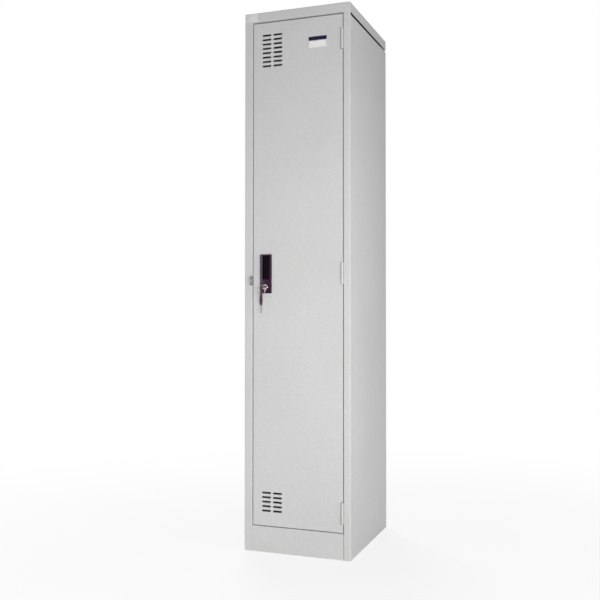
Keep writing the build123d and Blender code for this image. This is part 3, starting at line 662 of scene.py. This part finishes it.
def blade(length, width, thickness):
    """Key blade along +X from its tang: cuts along one edge, a groove on each face and a tapered tip."""
    half = width / 2
    first = KEY_TANG + KEY_FIRST_CUT
    pitch = (length - KEY_TANG - KEY_UNCUT) / len(KEY_CUTS)
    upper = [(0, half), (KEY_TANG + KEY_SHOULDER, half)]
    for i, depth in enumerate(KEY_CUTS):
        x = first + pitch * i
        upper += [(x + CUT_START * pitch, half - depth), (x + CUT_END * pitch, half - depth)]
        upper += [(x + CUT_CREST * pitch, half - KEY_CREST_DROP)]
    upper += [(length - KEY_TIP, half - KEY_TIP_DROP), (length, KEY_TIP_SHARE * half)]
    lower = [(length, -KEY_TIP_SHARE * half), (length - KEY_TIP, -half), (0, -half)]
    flat = plate([upper + lower], thickness, KEY_ROUND)
    for face in (-thickness / 2, thickness / 2):
        groove = block(
            KEY_TANG + KEY_GROOVE_START,
            length - KEY_GROOVE_STOP,
            -KEY_GROOVE_DROP - KEY_GROOVE_WIDTH,
            -KEY_GROOVE_DROP,
            face - KEY_GROOVE_DEPTH,
            face + KEY_GROOVE_DEPTH,
        )
        flat = without(flat, groove)
    return flat


def bow(outline, width, length, hole, thickness, rim):
    """Moulded bow: a thinner middle inside a raised rim, with another rim round the ring's hole."""
    x, y, radius = hole
    inner = [(px * (1 - 2 * rim / width), py * (1 - 2 * rim / length)) for px, py in outline]
    around = oval(radius, radius, x, y)
    eye = radius + BOW_EYE_RIM
    web = plate([outline, around], BOW_WEB * thickness, BOW_WEB_ROUND)
    edge = plate([outline, inner], thickness, BOW_RIM_ROUND)
    return joined(web, edge, plate([oval(eye, eye, x, y), around], thickness, BOW_RIM_ROUND))


def lock_key():
    """Key in the lock: blade along +Y, flat and level."""
    steel = Extent("key_blade")
    start = Matrix.Translation((steel.middle.x, steel.low.y, steel.middle.z))
    cut = blade(steel.size.y, steel.size.x, steel.size.z)
    piece("key_blade_cut", cut, start @ Matrix.Rotation(pi / 2, 4, "Z"), "key", "key_steel", "key_blade")
    grip = Extent("key_bow")
    width, length = grip.size.x, grip.size.y
    hole = (KEY_HOLE_RIM + KEY_HOLE_RADIUS - width / 2, 0, KEY_HOLE_RADIUS)
    shape = bow(rounded(width, length, KEY_BOW_ROUND), width, length, hole, grip.size.z, KEY_BOW_RIM)
    piece("key_bow_moulded", shape, Matrix.Translation(grip.middle), "key", "key_plastic", "key_bow")


def spare_key():
    """Spare key: hanging down, its flat faces to the sides."""
    steel = Extent("spare_key_blade")
    start = Matrix.Translation((steel.middle.x, steel.middle.y, steel.high.z))
    cut = blade(steel.size.z, steel.size.y, steel.size.x)
    down = start @ Matrix.Rotation(pi / 2, 4, "Y")
    piece("spare_blade_cut", cut, down, "spare_key", "key_steel", "spare_key_blade")
    grip = Extent("spare_key_bow")
    width, length = grip.size.y, grip.size.z
    hole = (0, length / 2 - KEY_HOLE_RIM - SPARE_HOLE_RADIUS, SPARE_HOLE_RADIUS)
    shape = bow(oval(width / 2, length / 2), width, length, hole, grip.size.x, SPARE_BOW_RIM)
    # Turns X to Y, Y to Z and Z to X
    upright = Matrix(((0, 0, 1, 0), (1, 0, 0, 0), (0, 1, 0, 0), (0, 0, 0, 1)))
    place = Matrix.Translation(grip.middle) @ upright
    piece("spare_bow_moulded", shape, place, "spare_key", "key_plastic", "spare_key_bow")


# Lock, screws, rivets and buffers


def screw(head, head_height, shank, length):
    """Pan-head screw along -Z below its head, with a cross recess."""
    crown = dome(head, SCREW_RIM * head_height, SCREW_CROWN * head_height)
    solid = lathe(crown + [(head, 0.0), (shank, 0.0), (shank, -length), (0, -length)], segments=32)
    arm, wide = CROSS_ARM * head, CROSS_HALF_WIDTH * head
    deep, over = CROSS_FLOOR * head_height, CROSS_TOP * head_height
    solid = without(solid, block(-arm, arm, -wide, wide, deep, over))
    return without(solid, block(-wide, wide, -arm, arm, deep, over))


def handle_screws():
    """Two screws in the straps behind the handle, turned a little differently."""
    pair = Extent("handle_screws")
    radius = pair.size.x / 2
    seat = pair.high.y - HANDLE_SCREW_HEAD
    heads = []
    for z, spin in zip((pair.low.z + radius, pair.high.z - radius), HANDLE_SCREW_SPINS):
        shape = screw(radius, HANDLE_SCREW_HEAD, HANDLE_SCREW_RADIUS, seat - pair.low.y)
        place = Matrix.Translation((pair.middle.x, seat, z)) @ TO_REAR @ Matrix.Rotation(spin, 4, "Z")
        heads.append(moved(shape, place))
    piece("handle_screw_heads", joined(*heads), None, "door", "zinc_steel", "handle_screws")


def cam_screw():
    """Screw that holds the lock's tongue."""
    whole = Extent("cam_screw")
    seat = whole.high.y - CAM_SCREW_HEAD
    shape = screw(whole.size.x / 2, CAM_SCREW_HEAD, CAM_SCREW_RADIUS, seat - whole.low.y)
    place = Matrix.Translation((whole.middle.x, seat, whole.middle.z)) @ TO_REAR
    piece("cam_screw_head", shape, place, "lock_core", "zinc_steel", "cam_screw")


def lock_barrel():
    """Turned cylinder of the lock: rounded collar with a shallow dished face, and a thread behind."""
    whole = Extent("lock_barrel")
    depth, collar = whole.size.y, whole.size.x / 2
    bore = Extent("lock_plug").size.x / 2 + PLUG_CLEARANCE
    lip = collar - DISH_BORDER
    profile = [(bore, BORE_MOUTH_DEPTH), (bore + BORE_MOUTH_WIDTH, DISH)]
    profile += [(lip, DISH), (lip + DISH_STEP, 0.0)]
    for i in range(COLLAR_ARC_STEPS + 1):
        a = pi / 2 * i / COLLAR_ARC_STEPS
        profile.append((collar - COLLAR_ROUND * (1 - sin(a)), COLLAR_ROUND * (1 - cos(a))))
    root = BARREL_RADIUS - THREAD_DEPTH
    profile += [(collar, COLLAR - COLLAR_BREAK), (collar - COLLAR_BREAK, COLLAR), (root, COLLAR)]
    turns = int((depth - COLLAR - THREAD_PLAIN) / THREAD_PITCH)
    for i in range(turns):
        height = COLLAR + THREAD_START + i * THREAD_PITCH
        crest = height + THREAD_DEPTH
        profile += [(root, height), (BARREL_RADIUS, crest), (BARREL_RADIUS, crest + THREAD_CREST)]
    profile += [(root, depth - BARREL_END_BREAK), (root - BARREL_END_BREAK, depth), (bore, depth)]
    place = Matrix.Translation((whole.middle.x, whole.low.y, whole.middle.z)) @ TO_REAR
    shape = lathe(profile, closed=True, segments=64)
    piece("lock_barrel_turned", shape, place, "door", "chrome", "lock_barrel", angle=BARREL_SOFT_ANGLE)


def badge_plate():
    """Bare plate with round corners."""
    flat = Extent("badge_plate")
    shape = plate([rounded(flat.size.x, flat.size.z, BADGE_CORNER, count=5)], flat.size.y, BADGE_ROUND)
    place = Matrix.Translation(flat.middle) @ TO_FRONT
    piece("badge_plate_rounded", shape, place, "carcass", "badge_metal", "badge_plate")


def badge_rivets():
    """Domed rivets at the badge's ends."""
    pair = Extent("badge_rivets")
    radius = pair.size.z / 2
    reach = pair.size.y - RIVET_HEAD
    shank = [(RIVET_RADIUS, 0.0), (RIVET_RADIUS, -reach), (0, -reach)]
    heads = []
    for x in (pair.low.x + radius, pair.high.x - radius):
        stud = lathe(dome(radius, 0.0, RIVET_HEAD, steps=5) + shank, segments=24)
        place = Matrix.Translation((x, pair.low.y + RIVET_HEAD, pair.middle.z)) @ TO_FRONT
        heads.append(moved(stud, place))
    piece("badge_rivet_heads", joined(*heads), None, "carcass", "zinc_steel", "badge_rivets")


def door_buffers():
    """Rubber buttons with a foot and a crowned face."""
    pair = Extent("door_buffers")
    radius, reach = pair.size.x / 2, pair.size.y
    foot = [(BUFFER_NECK * radius, BUFFER_FOOT), (radius, BUFFER_FOOT_RIM), (radius, 0.0), (0, 0.0)]
    buttons = []
    for z in (pair.low.z + radius, pair.high.z - radius):
        button = lathe(dome(BUFFER_FACE * radius, reach - BUFFER_CROWN, BUFFER_CROWN) + foot, segments=32)
        buttons.append(moved(button, Matrix.Translation((pair.middle.x, pair.high.y, z)) @ TO_FRONT))
    piece("door_buffer_domes", joined(*buttons), None, "carcass", "rubber", "door_buffers")


def break_edges():
    """Small broken edges on the pressed and moulded nodes."""
    for node, width in BROKEN_EDGES.items():
        weld = NODES[node].modifiers.new("weld", "WELD")
        weld.merge_threshold = WELD_DISTANCE
        bevel = NODES[node].modifiers.new("edges", "BEVEL")
        bevel.width = width
        bevel.segments = 2
        bevel.limit_method = "ANGLE"
        bevel.angle_limit = BROKEN_FROM
        bevel.harden_normals = True


# Studio


def area_lamp(name, place, target, size, power, spread):
    """Soft rectangular lamp that looks at a target."""
    lamp = bpy.data.lights.new(name, "AREA")
    lamp.shape = "RECTANGLE"
    lamp.size, lamp.size_y = size
    lamp.energy = power
    lamp.spread = radians(spread)
    obj = bpy.data.objects.new(name, lamp)
    SCENE.collection.objects.link(obj)
    obj.location = place
    obj.rotation_euler = (Vector(target) - Vector(place)).to_track_quat("-Z", "Y").to_euler()


def seen_rays(tree):
    """1 for rays that show the background: from the camera, off gloss and through glass."""
    path = tree.nodes.new("ShaderNodeLightPath")
    total = path.outputs["Is Camera Ray"]
    for name in ("Is Glossy Ray", "Is Transmission Ray"):
        node = tree.nodes.new("ShaderNodeMath")
        node.operation = "MAXIMUM"
        tree.links.new(total, node.inputs[0])
        tree.links.new(path.outputs[name], node.inputs[1])
        total = node.outputs[0]
    return total


def backdrop():
    """White where it is seen, a weak even light elsewhere."""
    world = bpy.data.worlds.new("studio")
    SCENE.world = world
    world.use_nodes = True
    tree = world.node_tree
    light = tree.nodes["Background"]
    white = tree.nodes.new("ShaderNodeBackground")
    for node, strength in ((light, EVEN_LIGHT), (white, SEEN_LIGHT)):
        node.inputs["Color"].default_value = WHITE
        node.inputs["Strength"].default_value = strength
    blend = tree.nodes.new("ShaderNodeMixShader")
    tree.links.new(seen_rays(tree), blend.inputs[0])
    tree.links.new(light.outputs[0], blend.inputs[1])
    tree.links.new(white.outputs[0], blend.inputs[2])
    tree.links.new(blend.outputs[0], tree.nodes["World Output"].inputs["Surface"])


def pale_floor():
    """Pale paper that fades to the white background away from the object and keeps its shadow."""
    finish = Finish("pale_floor", Roughness=0.8)
    finish.use(finish.tint(finish.noise(PAPER_GRAIN, detail=3), *PAPER_TONES))
    distance = finish.add("VectorMath", {0: finish.place}, operation="LENGTH").outputs["Value"]
    share = finish.span(distance, FADE_LEAST, 1.0, FADE_START, FADE_END)
    share = finish.math("MULTIPLY", share, seen_rays(finish.material.node_tree))
    glow = finish.add("Emission", {"Color": WHITE, "Strength": SEEN_LIGHT})
    cover = finish.add("MixShader", {0: share})
    finish.links.new(finish.shader.outputs[0], cover.inputs[1])
    finish.links.new(glow.outputs[0], cover.inputs[2])
    finish.links.new(cover.outputs[0], finish.nodes["Material Output"].inputs["Surface"])
    return finish.material


def floor():
    """Wide disc just under the cabinet."""
    bm = bmesh.new()
    bmesh.ops.create_circle(bm, cap_ends=True, segments=96, radius=FLOOR_RADIUS)
    disc = bpy.data.objects.new("floor", as_mesh(bm))
    disc.location.z = -FLOOR_DROP
    disc.data.materials.append(pale_floor())
    SCENE.collection.objects.link(disc)


def camera():
    """Camera at the photograph's place."""
    lens = bpy.data.cameras.new("camera")
    lens.sensor_width = CAMERA_SENSOR
    lens.lens = CAMERA_LENS
    lens.shift_x, lens.shift_y = CAMERA_SHIFT
    obj = bpy.data.objects.new("camera", lens)
    SCENE.collection.objects.link(obj)
    obj.location = CAMERA_PLACE
    obj.rotation_euler = CAMERA_TURN
    SCENE.camera = obj


dress_nodes()
split_ring()
lock_key()
spare_key()
handle_screws()
cam_screw()
lock_barrel()
badge_plate()
badge_rivets()
door_buffers()
break_edges()

for lamp_name, settings in LAMPS.items():
    area_lamp(lamp_name, **settings)
backdrop()
floor()
camera()
SCENE.view_settings.view_transform = "Standard"
